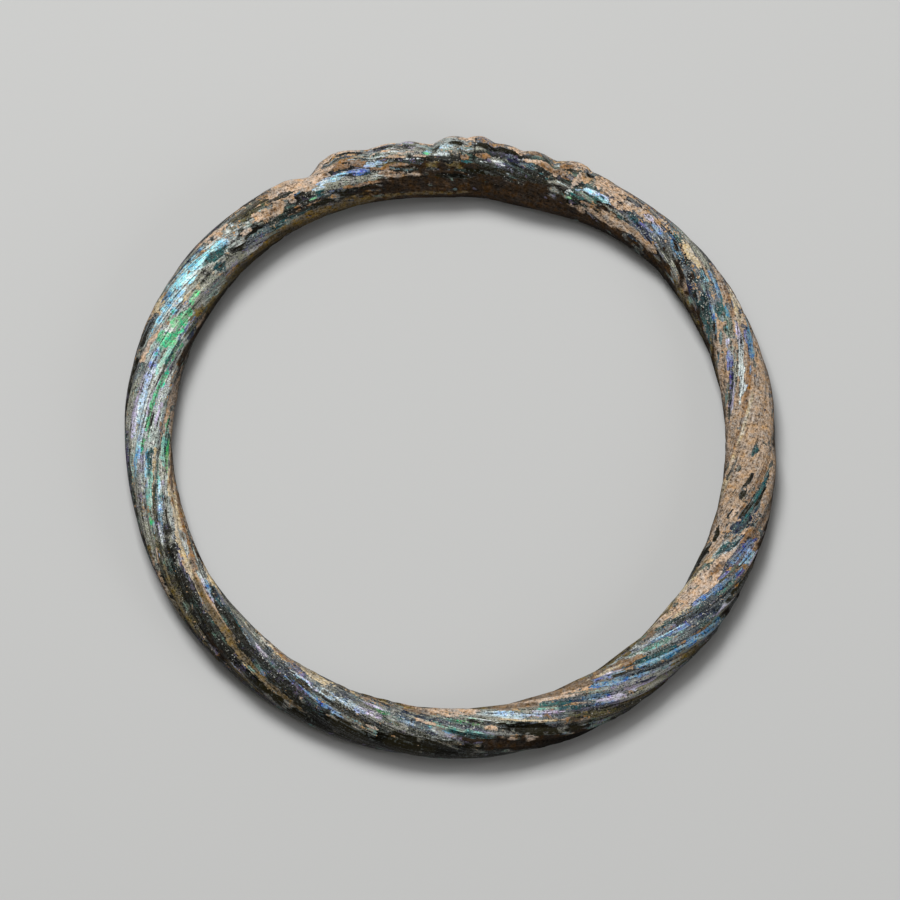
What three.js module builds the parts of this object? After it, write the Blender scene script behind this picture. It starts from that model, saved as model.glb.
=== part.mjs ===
import * as THREE from 'three';

// A bangle of dark ancient glass: one rod, twisted into ribs while soft and bent into a ring,
// with its two ends overlapped and pinched together into a lumpy joint at +Y.
// Millimetres, +Z up. It lies flat, and the origin is under the middle of its outline.
// A place on the rod is a turn and a roll, in degrees. The turn goes round the ring from +X
// toward +Y. The roll goes round the rod: 0 is outward, 90 is up and 180 faces the wrist.

// Ring and rod. The underside is worn flat by the resting cut, where the ring lies on it.
const openingWidth = 64.3;
const rodThickness = 5.7;
const ringRadius = (openingWidth + rodThickness) / 2;
const restingCut = 0.16;

// The ring is slightly oval and three-cornered, and the rod swells and thins along it.
// Each wave is its number of swells round the ring, its rise and the turn where it peaks.
const ringWaves = [
  { swells: 2, rise: 0.20, peak: 135 },
  { swells: 3, rise: 0.14, peak: 39.5 },
];
const rodWaves = [
  { swells: 1, rise: 0.07, peak: 90 },
  { swells: 2, rise: 0.14, peak: 135 },
  { swells: 3, rise: 0.07, peak: 0 },
];

// The pinching pushed the ring in at the joint
const pinch = { turn: 84.9, span: 26, depth: 1.63 };

// Twist: whole turns of the rod, and where it is twisted tighter or looser than even
const twistTurns = 3;
const twistWaves = [
  { swells: 1, rise: 57.3, peak: 70 },
  { swells: 2, rise: 14.3, peak: 25 },
];

// Ribs: rounded crests between narrow valleys, bunched closer together on one side of the rod
const ribCount = 9;
const ribHeight = 0.26;
const ribBunching = 0.4;
const bunchedRoll = 200;
const ribStrengths = [
  { turn: 90, span: 36, change: -0.85 },
  { turn: 226, span: 26, change: 0.35 },
  { turn: 303, span: 20, change: 0.35 },
  { turn: 150, span: 16, change: -0.3 },
  { turn: 14, span: 18, change: -0.3 },
];

// Overlaid rod end: a row of pinched scallops over the outer and upper side.
// A lump rises by rise, reaches along the rod and across it, and leans that far from the rod's line.
const scallops = [
  { turn: 110.4, roll: 38, rise: 0.48, along: 1.9, across: 2.3, lean: 0 },
  { turn: 101.3, roll: 38, rise: 0.46, along: 1.8, across: 2.2, lean: 0 },
  { turn: 97.2, roll: 36, rise: 0.62, along: 1.6, across: 2.3, lean: 0 },
  { turn: 89.6, roll: 28, rise: 1.32, along: 2.0, across: 2.3, lean: 0 },
  { turn: 84.3, roll: 28, rise: 1.44, along: 1.8, across: 2.3, lean: 0 },
  { turn: 79.4, roll: 30, rise: 0.84, along: 1.6, across: 2.3, lean: 0 },
  { turn: 73.8, roll: 28, rise: 0.85, along: 1.8, across: 2.2, lean: 0 },
  { turn: 66.3, roll: 26, rise: 0.88, along: 1.9, across: 2.2, lean: 0 },
  { turn: 61.0, roll: 10, rise: 0.30, along: 1.5, across: 2.4, lean: 0 },
];

// Rod end beneath: it comes in from the left, bulges up beside the scallops and ends bluntly
const lowerEnd = [
  { turn: 109.0, roll: 110, rise: 0.42, along: 4.0, across: 1.3, lean: 10 },
  { turn: 101.2, roll: 132, rise: 0.32, along: 1.5, across: 1.2, lean: 10 },
  { turn: 59.5, roll: 96, rise: 0.35, along: 2.8, across: 1.3, lean: 12 },
  { turn: 70.0, roll: 168, rise: 0.32, along: 4.5, across: 2.6, lean: 0 },
  { turn: 80.0, roll: 318, rise: 0.35, along: 5.0, across: 2.0, lean: 0 },
  { turn: 97.0, roll: 308, rise: 0.30, along: 4.0, across: 1.8, lean: 0 },
];

// Hollows: the waist beside the overlay, the folds between the two ends and the soft dents
const hollows = [
  { turn: 117.3, roll: 15, rise: -1.20, along: 1.6, across: 2.8, lean: 0 },
  { turn: 121.0, roll: 12, rise: -0.22, along: 2.4, across: 3.0, lean: 0 },
  { turn: 130.0, roll: 10, rise: -0.48, along: 6.5, across: 3.4, lean: 0 },
  { turn: 115.8, roll: 80, rise: -0.30, along: 1.2, across: 1.0, lean: 0 },
  { turn: 111.5, roll: 90, rise: -0.38, along: 3.0, across: 0.65, lean: 6 },
  { turn: 104.5, roll: 101, rise: -0.45, along: 3.0, across: 0.65, lean: 14 },
  { turn: 88.8, roll: 122, rise: -0.50, along: 2.6, across: 0.9, lean: 6 },
  { turn: 64.5, roll: 88, rise: -0.32, along: 1.3, across: 1.0, lean: 40 },
  { turn: 84.0, roll: 168, rise: -0.35, along: 3.2, across: 2.6, lean: 0 },
  { turn: 42.0, roll: 175, rise: -0.30, along: 2.4, across: 2.2, lean: 0 },
  { turn: 0.0, roll: 0, rise: -0.32, along: 2.5, across: 2.5, lean: 0 },
  { turn: 189.0, roll: 0, rise: -0.24, along: 8.0, across: 3.0, lean: 0 },
  { turn: 312.0, roll: 0, rise: -0.18, along: 3.0, across: 3.0, lean: 0 },
];
const relief = [...scallops, ...lowerEnd, ...hollows];

// Surface: facets follow the ribs, and cross-sections stand closer together at the joint
const columnsPerRib = 3;
const jointArc = { from: 56, to: 124, sections: 68 };
const plainArc = { from: jointArc.to, to: jointArc.from + 360, sections: 116 };

const toRadians = THREE.MathUtils.degToRad;
const cosine = (degrees) => Math.cos(toRadians(degrees));
const sine = (degrees) => Math.sin(toRadians(degrees));
const bell = (distance) => Math.exp(-distance * distance);
const shortWayRound = (degrees) => THREE.MathUtils.euclideanModulo(degrees + 180, 360) - 180;

function waves(list, turn) {
  return list.reduce((sum, wave) => sum + wave.rise * cosine(wave.swells * (turn - wave.peak)), 0);
}

function centreRadius(turn) {
  return ringRadius + waves(ringWaves, turn) - pinch.depth * bell(shortWayRound(turn - pinch.turn) / pinch.span);
}

function rodRadius(turn) {
  return rodThickness / 2 + waves(rodWaves, turn);
}

function twistAt(turn) {
  return twistTurns * turn + waves(twistWaves, turn);
}

function ribStrength(turn) {
  return ribStrengths.reduce(
    (sum, zone) => sum + zone.change * bell(shortWayRound(turn - zone.turn) / zone.span), 1);
}

// Height of one lump, a bell that is longer one way than the other
function lumpHeight(lump, turn, roll) {
  const alongRod = toRadians(shortWayRound(turn - lump.turn)) * ringRadius;
  const roundRod = toRadians(shortWayRound(roll - lump.roll)) * rodThickness / 2;
  const lengthwise = alongRod * cosine(lump.lean) + roundRod * sine(lump.lean);
  const crosswise = roundRod * cosine(lump.lean) - alongRod * sine(lump.lean);
  return lump.rise * bell(lengthwise / lump.along) * bell(crosswise / lump.across);
}

// The columns of facets, each with its roll where the twist is zero and its height on its rib
function ribColumns() {
  const columns = [];
  for (let column = 0; column < ribCount * columnsPerRib; column += 1) {
    const phase = 360 * column / columnsPerRib;
    const evenRoll = phase / ribCount;
    let roll = evenRoll;
    for (let round = 0; round < 40; round += 1) {
      const bunched = THREE.MathUtils.radToDeg(ribBunching * sine(roll - bunchedRoll));
      roll = evenRoll - bunched;
    }
    const height = ribHeight * (Math.abs(sine(phase / 2)) - 2 / Math.PI);
    columns.push({ roll, height });
  }
  return columns;
}

function sectionTurns() {
  const turns = [];
  for (const arc of [jointArc, plainArc]) {
    for (let section = 0; section < arc.sections; section += 1) {
      turns.push(THREE.MathUtils.lerp(arc.from, arc.to, section / arc.sections));
    }
  }
  return turns;
}

function surfacePoint(turn, column) {
  const roll = column.roll - twistAt(turn);
  let radius = rodRadius(turn) + column.height * ribStrength(turn);
  for (const lump of relief) {
    radius += lumpHeight(lump, turn, roll);
  }
  const outward = centreRadius(turn) + radius * cosine(roll);
  const centreHeight = rodRadius(turn) - restingCut;
  const height = Math.max(centreHeight + radius * sine(roll), 0);
  return [outward * cosine(turn), outward * sine(turn), height];
}

function twistedRing() {
  const columns = ribColumns();
  const turns = sectionTurns();
  const positions = turns.flatMap((turn) => columns.flatMap((column) => surfacePoint(turn, column)));
  const vertex = (section, column) =>
    (section % turns.length) * columns.length + (column % columns.length);
  const triangles = [];
  for (let section = 0; section < turns.length; section += 1) {
    for (let column = 0; column < columns.length; column += 1) {
      const near = vertex(section, column);
      const far = vertex(section + 1, column);
      const farNext = vertex(section + 1, column + 1);
      const nearNext = vertex(section, column + 1);
      triangles.push(near, far, farNext, near, farNext, nearNext);
    }
  }
  const ring = new THREE.BufferGeometry();
  ring.setAttribute('position', new THREE.Float32BufferAttribute(positions, 3));
  ring.setIndex(triangles);
  ring.computeBoundingBox();
  const { min, max } = ring.boundingBox;
  ring.translate(-(min.x + max.x) / 2, -(min.y + max.y) / 2, 0);
  ring.computeVertexNormals();
  return ring;
}

const weatheredGlass = new THREE.MeshStandardMaterial({ color: 0x5b5a4e, roughness: 0.45, metalness: 0.2 });

const bracelet = new THREE.Mesh(twistedRing(), weatheredGlass);
bracelet.name = 'bracelet';

const group = new THREE.Group();
group.add(bracelet);

export default group;
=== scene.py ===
"""An ancient twisted glass bangle lying on a pale table, seen from above.

The ring is one surface over two angles, in degrees. The turn goes round the ring from +X toward
+Y, and the roll goes round the rod: 0 is outward, 90 is up and 180 faces the wrist. The rod's own
line is its roll plus the twist, so what is drawn along the glass follows one line round the rod.
"""

import math

import bpy
import numpy as np
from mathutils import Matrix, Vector


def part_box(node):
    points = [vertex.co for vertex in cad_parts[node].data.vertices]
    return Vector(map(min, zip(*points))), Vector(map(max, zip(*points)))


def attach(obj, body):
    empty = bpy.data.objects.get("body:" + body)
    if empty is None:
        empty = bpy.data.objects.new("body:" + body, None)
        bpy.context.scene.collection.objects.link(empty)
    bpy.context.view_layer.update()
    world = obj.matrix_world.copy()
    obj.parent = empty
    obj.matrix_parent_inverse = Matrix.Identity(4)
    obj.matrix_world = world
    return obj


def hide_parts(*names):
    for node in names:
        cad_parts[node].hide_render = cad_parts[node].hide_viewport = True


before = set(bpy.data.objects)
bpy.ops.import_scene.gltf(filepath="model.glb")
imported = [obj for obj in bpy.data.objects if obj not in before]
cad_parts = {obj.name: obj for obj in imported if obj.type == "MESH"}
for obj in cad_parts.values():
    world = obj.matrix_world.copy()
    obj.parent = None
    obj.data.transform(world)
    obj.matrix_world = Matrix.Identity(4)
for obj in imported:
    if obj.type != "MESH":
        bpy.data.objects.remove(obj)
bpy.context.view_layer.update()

MM = 0.001

# Ring and rod in millimetres, as in the solid
ROD_THICKNESS = 5.7
OPENING_WIDTH = 64.3
RING_RADIUS = (OPENING_WIDTH + ROD_THICKNESS) / 2
RESTING_CUT = 0.16

# Waves: swells round the ring, rise, turn where it peaks
RING_WAVES = ((2, 0.20, 135), (3, 0.14, 39.5))
ROD_WAVES = ((1, 0.07, 90), (2, 0.14, 135), (3, 0.07, 0))
PINCH_TURN, PINCH_SPAN, PINCH_DEPTH = 84.9, 26, 1.63
TWIST_TURNS = 3
TWIST_WAVES = ((1, 57.3, 70), (2, 14.3, 25))

# Ribs
RIB_COUNT = 9
RIB_HEIGHT = 0.26
RIB_BUNCHING = 0.4
BUNCHED_ROLL = 200

# Where the ribs are stronger or weaker: turn, span, change
RIB_STRENGTHS = (
    (90, 36, -0.85),
    (226, 26, 0.35),
    (303, 20, 0.35),
    (150, 16, -0.3),
    (14, 18, -0.3),
)

# Lumps: turn, roll, rise, reach along the rod, reach across it, lean from the rod's line
SCALLOPS = (
    (110.4, 38, 0.48, 1.9, 2.3, 0),
    (101.3, 38, 0.46, 1.8, 2.2, 0),
    (97.2, 36, 0.62, 1.6, 2.3, 0),
    (89.6, 28, 1.32, 2.0, 2.3, 0),
    (84.3, 28, 1.44, 1.8, 2.3, 0),
    (79.4, 30, 0.84, 1.6, 2.3, 0),
    (73.8, 28, 0.85, 1.8, 2.2, 0),
    (66.3, 26, 0.88, 1.9, 2.2, 0),
    (61.0, 10, 0.30, 1.5, 2.4, 0),
)
LOWER_END = (
    (109.0, 110, 0.42, 4.0, 1.3, 10),
    (101.2, 132, 0.32, 1.5, 1.2, 10),
    (59.5, 96, 0.35, 2.8, 1.3, 12),
    (70.0, 168, 0.32, 4.5, 2.6, 0),
    (80.0, 318, 0.35, 5.0, 2.0, 0),
    (97.0, 308, 0.30, 4.0, 1.8, 0),
)
HOLLOWS = (
    (117.3, 15, -1.20, 1.6, 2.8, 0),
    (121.0, 12, -0.22, 2.4, 3.0, 0),
    (130.0, 10, -0.48, 6.5, 3.4, 0),
    (115.8, 80, -0.30, 1.2, 1.0, 0),
    (111.5, 90, -0.38, 3.0, 0.65, 6),
    (104.5, 101, -0.45, 3.0, 0.65, 14),
    (88.8, 122, -0.50, 2.6, 0.9, 6),
    (64.5, 88, -0.32, 1.3, 1.0, 40),
    (84.0, 168, -0.35, 3.2, 2.6, 0),
    (42.0, 175, -0.30, 2.4, 2.2, 0),
    (0.0, 0, -0.32, 2.5, 2.5, 0),
    (189.0, 0, -0.24, 8.0, 3.0, 0),
    (312.0, 0, -0.18, 3.0, 3.0, 0),
)

# Narrow folds and ridges that only the fine surface has, as lumps: the creases between the two
# ends, the flutes between the scallops and a groove along the twist
FOLDS = (
    (109.5, 84, -0.30, 3.4, 0.24, 0),
    (100.2, 110, 0.20, 2.4, 0.20, -10),
    (100.0, 102, -0.30, 2.6, 0.26, -10),
    (92.0, 100, -0.22, 3.0, 0.30, 0),
    (64.8, 78, 0.24, 0.40, 1.0, 0),
    (66.4, 103, -0.30, 0.50, 0.60, 0),
    (70.5, 62, 0.20, 2.6, 0.26, -14),
    (68.0, 55, -0.24, 1.2, 0.20, -20),
    (74.5, 74, -0.25, 3.2, 0.24, -16),
    (82.0, 68, 0.14, 2.4, 0.24, 0),
    (231.5, 129, -0.20, 4.4, 0.16, -10),
)
FLUTE_TURNS = (113.0, 105.4, 99.4, 93.4, 86.9, 81.9, 76.6, 70.2, 63.2)
FLUTES = tuple((turn, 52, -0.24, 0.42, 1.5, 0) for turn in FLUTE_TURNS)

# The fine surface: arcs of the ring with their number of sections, and facets round the rod
JOINT_ARC = (56.0, 124.0, 200)
PLAIN_ARC = (124.0, 416.0, 462)
COLUMNS = 150

# What stands on the rod, in millimetres: the drawn lines, the soft dents and the crust, which
# rises to its full thickness between these two amounts of crust
DRAWN_LINE_HEIGHT = 0.028
DENT_HEIGHT = 0.03
CRUST_THICKNESS = 0.05
CRUST_RISE = (0.3, 0.7)

# What holds a colour: the dull ground, the coloured film and the soil of the crust. Where no cover
# says otherwise, each drifts from one swatch to the other.
COLOUR_FIELDS = ("ground", "colour", "soil")
GROUND_DRIFT = ((124, 128, 124), (108, 102, 80))
FILM_DRIFT = ((150, 160, 186), (96, 130, 140))
SOIL_DRIFT = ((184, 160, 132), (148, 121, 93))

# How a cover ends: the reach where it has gone and the reach where it is whole. Its colours spread
# further than its amounts, so the edge of what they colour has its full colour. Nothing of it is
# drawn past the furthest reach.
COVER_EDGE = (1.2, 0.8)
COLOUR_EDGE = (1.5, 1.15)
FURTHEST_REACH = 2.2

# The low sides of the rod are darkened with painted shade. The painted shade fades out between these
# two heights, as sines of the roll. The joint has less of it, because it counts as higher by its lift,
# which fades between these degrees from its turn.
PAINTED_SHADE_END = (-0.1, 0.62)
DARKEST_PAINTED_SHADE = 0.12
JOINT_TURN = 90
JOINT_FADE = (38, 30)
JOINT_LIFT = 0.3

# Swatches of the film's sheen, the pits in it, the pale specks of painted glint on it, the bare glass, the
# dust and the crack
LILAC_SHEEN = (128, 130, 172)
AQUA_SHEEN = (92, 156, 146)
PIT_COLOUR = (26, 30, 28)
PAINTED_GLINT_COLOUR = (214, 216, 210)
BLACK_GLASS = (9, 8, 2)
OLIVE_GLASS = (31, 28, 13)
GLASS_BLOOM = (96, 104, 104)
DUST_COLOUR = (128, 106, 84)
CRACK_COLOUR = (14, 12, 10)

# Depth of the finest relief, which is only in the finish
RELIEF_DEPTH = 0.16 * MM

# Blender's noise stays close to a half, so this spreads it to about 1 either way
NOISE_SPREAD = 12.0

# What covers the glass. Each cover says how much crust, bare glass, pits, dust and coloured film it
# has, and the colours of its crust, its dull ground and its film. What it leaves out stays as it is.
COVERS = {
    "olive soil": dict(crust=0.86, bare=0.0, soil=(110, 98, 68)),
    "khaki soil": dict(crust=1.0, bare=0.0, soil=(116, 101, 76)),
    "brown soil and shade": dict(crust=1.3, bare=0.0, film=0.0, ground=(50, 40, 28), soil=(48, 36, 24)),
    "umber soil": dict(crust=1.3, bare=0.0, film=0.0, ground=(46, 35, 23), soil=(68, 50, 32)),
    "bronze soil": dict(crust=1.0, bare=0.0, film=0.0, ground=(100, 88, 58), soil=(116, 98, 64)),
    "mottled crust": dict(crust=0.5, bare=0.0, pits=0.75, dust=0.6, film=0.35, ground=(104, 112, 124)),
    "tan crust": dict(crust=1.0, bare=0.0, soil=(176, 153, 131)),
    "cream crust": dict(crust=0.85, bare=0.0, soil=(200, 184, 154)),
    "dun crust": dict(crust=1.0, bare=0.0, soil=(130, 112, 94)),
    "peach crust": dict(crust=0.95, bare=0.0, soil=(200, 175, 153)),
    "orange crust": dict(crust=0.8, bare=0.0, soil=(144, 116, 90)),
    "pearl ground": dict(crust=0.1, bare=0.0, pits=0.65, dust=0.35, film=0.1, ground=(186, 198, 194)),
    "silver ground": dict(crust=0.12, bare=0.0, pits=0.75, dust=0.4, film=0.1, ground=(160, 162, 146)),
    "frost ground": dict(crust=0.1, bare=0.0, pits=0.7, dust=0.25, film=0.3, ground=(176, 190, 188)),
    "steel ground": dict(crust=0.1, bare=0.05, pits=0.85, dust=0.35, film=0.15, ground=(104, 116, 128)),
    "olive ground": dict(crust=0.15, bare=0.1, pits=0.6, dust=0.5, film=0.0, ground=(84, 78, 48)),
    "moss ground": dict(crust=0.15, bare=0.0, pits=0.4, dust=0.4, film=0.0, ground=(122, 122, 98)),
    "dark ground and shade": dict(crust=0.1, bare=0.35, pits=0.85, dust=0.4, film=0.0, ground=(46, 46, 38)),
    "white film": dict(crust=0.05, bare=0.0, pits=0.4, dust=0.3, film=0.85, colour=(184, 196, 198)),
    "lilac film": dict(crust=0.05, bare=0.0, pits=0.4, dust=0.3, film=0.85, colour=(178, 172, 198)),
    "violet film": dict(crust=0.0, bare=0.0, pits=0.4, dust=0.2, film=0.8, colour=(98, 106, 158)),
    "navy film": dict(crust=0.0, bare=0.1, pits=0.6, dust=0.2, film=0.85, colour=(38, 50, 76)),
    "blue film": dict(crust=0.0, bare=0.0, pits=0.4, dust=0.2, film=0.85, colour=(88, 134, 172)),
    "cyan film": dict(crust=0.0, bare=0.0, pits=0.3, dust=0.15, film=0.95, colour=(132, 200, 224)),
    "ice film": dict(crust=0.0, bare=0.0, pits=0.6, dust=0.2, film=0.85, colour=(156, 184, 210)),
    "aqua film": dict(crust=0.0, bare=0.0, pits=0.4, dust=0.25, film=0.85, colour=(122, 178, 162)),
    "teal film": dict(crust=0.0, bare=0.05, pits=0.6, dust=0.2, film=0.85, colour=(42, 88, 92)),
    "green film": dict(crust=0.0, bare=0.0, pits=0.35, dust=0.2, film=0.9, colour=(86, 188, 118)),
    "pitting": dict(pits=0.95),
    "bare glass": dict(crust=0.0, bare=0.92, pits=0.2, dust=0.15, film=0.0),
    "pitted glass": dict(crust=0.1, bare=0.5, pits=0.9, dust=0.45, film=0.2),
}

# The hairline crack across the joint: its turn, then the middle of its roll, its half span of turn
# and its half span of roll
CRACK_TURN = 85.3
CRACK_SPAN = (58, 4, 26)

# Broad regions, drawn first: cover, turn, roll, half span of turn, half span of roll, in degrees.
# A half span of ALL_ROUND covers every turn.
ALL_ROUND = 400
REGIONS = (
    ("dark ground and shade", 0, 200, ALL_ROUND, 36),
    ("pearl ground", 170, 88, 36, 46),
    ("pearl ground", 196, 108, 18, 28),
    ("steel ground", 326, 70, 20, 36),
    ("steel ground", 248, 110, 24, 26),
    ("dark ground and shade", 226, 104, 9, 20),
    ("silver ground", 272, 105, 24, 20),
    ("steel ground", 302, 75, 14, 22),
    ("mottled crust", 38, 80, 20, 50),
    ("steel ground", 45, 105, 12, 10),
    ("olive ground", 213, 42, 18, 32),
    ("bare glass", 260, 26, 34, 42),
    ("moss ground", 309, 24, 15, 26),
    ("tan crust", 2, 85, 20, 60),
    ("dun crust", 290, 136, 34, 14),
    ("olive ground", 308, 148, 9, 16),
    ("tan crust", 344, 135, 16, 26),
    ("tan crust", 209, 100, 8, 12),
    ("dun crust", 222, 84, 8, 10),
    ("olive soil", 320, 168, 66, 22),
    ("olive soil", 10, 172, 24, 18),
    ("bronze soil", 30, 176, 24, 20),
    ("bronze soil", 136, 172, 26, 24),
    ("tan crust", 182, 160, 26, 14),
    # The last three regions paint shade on the low outer flank at the sides, where the rod turns from the
    # light
    ("brown soil and shade", 0, 2, 26, 22),
    ("dark ground and shade", 185, 4, 26, 22),
    ("dark ground and shade", 128, 16, 16, 20),
)

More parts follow.
